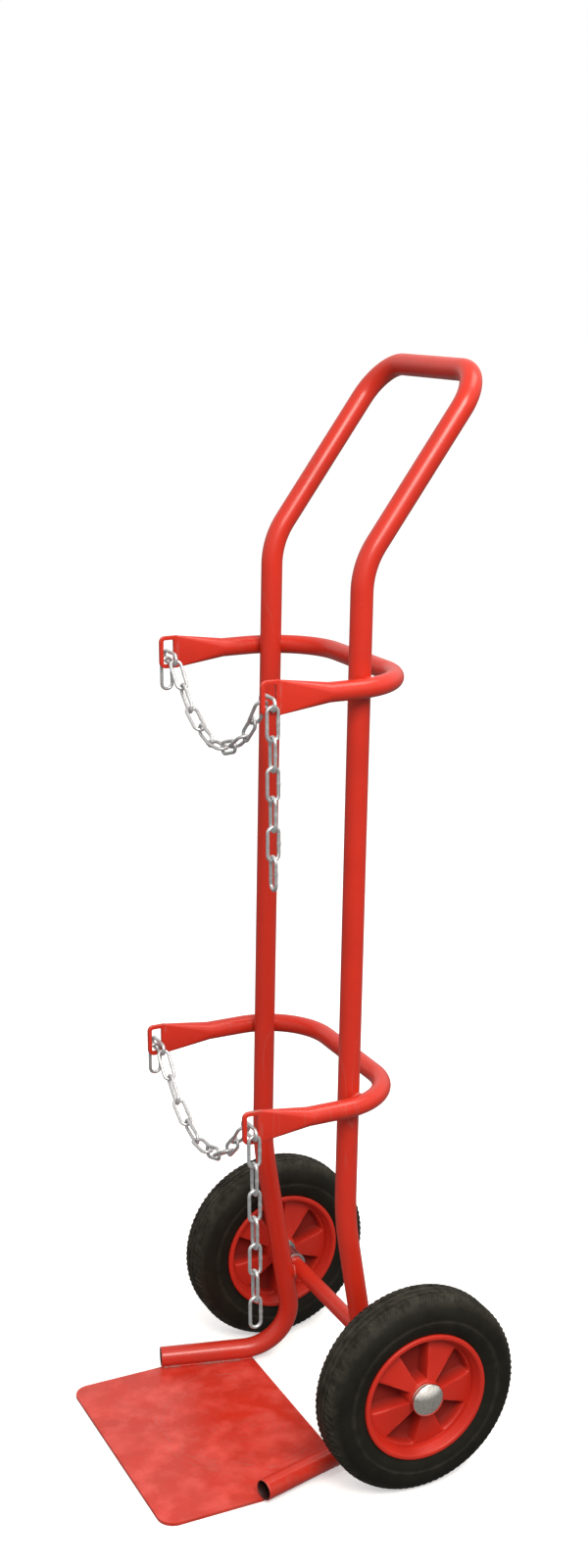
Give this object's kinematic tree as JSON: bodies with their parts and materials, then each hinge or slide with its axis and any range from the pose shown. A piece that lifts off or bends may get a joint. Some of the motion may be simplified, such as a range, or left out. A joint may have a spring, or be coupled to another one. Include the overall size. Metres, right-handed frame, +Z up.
{
  "type": "gas cylinder trolley",
  "caption": "Tube-frame hand trolley for an upright gas bottle, with a toe plate, spoked rubber-tyred wheels, a leaned-back handle and retaining hoops closed by chains.",
  "frame": {"origin": "on the floor, in the middle of the trolley's width and depth", "axes": "+Z up; -Y to the toe plate, +Y to the handle and the wheels' rear; +X to the side where the loose chain ends hang"},
  "size_m": [0.4686, 0.4242, 1.2825],
  "materials": {
    "red_paint": "glossy red powder coat",
    "zinc_plate": "zinc plated",
    "cap_steel": "bright plated",
    "rim_plastic": "satin moulded red",
    "rubber": "matt black rubber",
    "bush_plastic": "natural nylon",
    "chain_zinc": "bright zinc plated"
  },
  "bodies": {
    "frame": {"left_rail": "red_paint", "right_rail": "red_paint", "handle": "red_paint", "upper_hoop": "red_paint", "lower_hoop": "red_paint", "toe_plate": "red_paint", "axle": "red_paint", "left_spacer": "zinc_plate", "left_inner_washer": "zinc_plate", "left_outer_washer": "zinc_plate", "right_spacer": "zinc_plate", "right_inner_washer": "zinc_plate", "right_outer_washer": "zinc_plate", "left_cap": "cap_steel", "right_cap": "cap_steel"},
    "left_wheel": {"left_rim": "rim_plastic", "left_tyre": "rubber", "left_inner_bush": "bush_plastic", "left_outer_bush": "bush_plastic"},
    "right_wheel": {"right_rim": "rim_plastic", "right_tyre": "rubber", "right_inner_bush": "bush_plastic", "right_outer_bush": "bush_plastic"},
    "upper_span": {"upper_chain": "chain_zinc"},
    "lower_span": {"lower_chain": "chain_zinc"},
    "upper_end": {"upper_tail": "chain_zinc"},
    "lower_end": {"lower_tail": "chain_zinc"}
  },
  "joints": [
    {"name": "left_wheel_spin", "type": "hinge", "parent": "frame", "child": "left_wheel", "pos_m": [0.1935, 0.08867, 0.122], "axis": [1, 0, 0], "continuous": true},
    {"name": "right_wheel_spin", "type": "hinge", "parent": "frame", "child": "right_wheel", "pos_m": [-0.1935, 0.08867, 0.122], "axis": [1, 0, 0], "continuous": true},
    {"name": "upper_chain_swing", "type": "hinge", "parent": "frame", "child": "upper_span", "pos_m": [0, -0.06778, 0.9373], "axis": [1, 0, 0], "range_deg": [-24, 24]},
    {"name": "lower_chain_swing", "type": "hinge", "parent": "frame", "child": "lower_span", "pos_m": [0, -0.09295, 0.4563], "axis": [1, 0, 0], "range_deg": [-24, 24]},
    {"name": "upper_tail_swing", "type": "hinge", "parent": "upper_span", "child": "upper_end", "pos_m": [0.14853, -0.06778, 0.9373], "axis": [0, -1, 0], "range_deg": [0, 80]},
    {"name": "lower_tail_swing", "type": "hinge", "parent": "lower_span", "child": "lower_end", "pos_m": [0.14853, -0.09295, 0.4563], "axis": [0, -1, 0], "range_deg": [0, 80]}
  ]
}
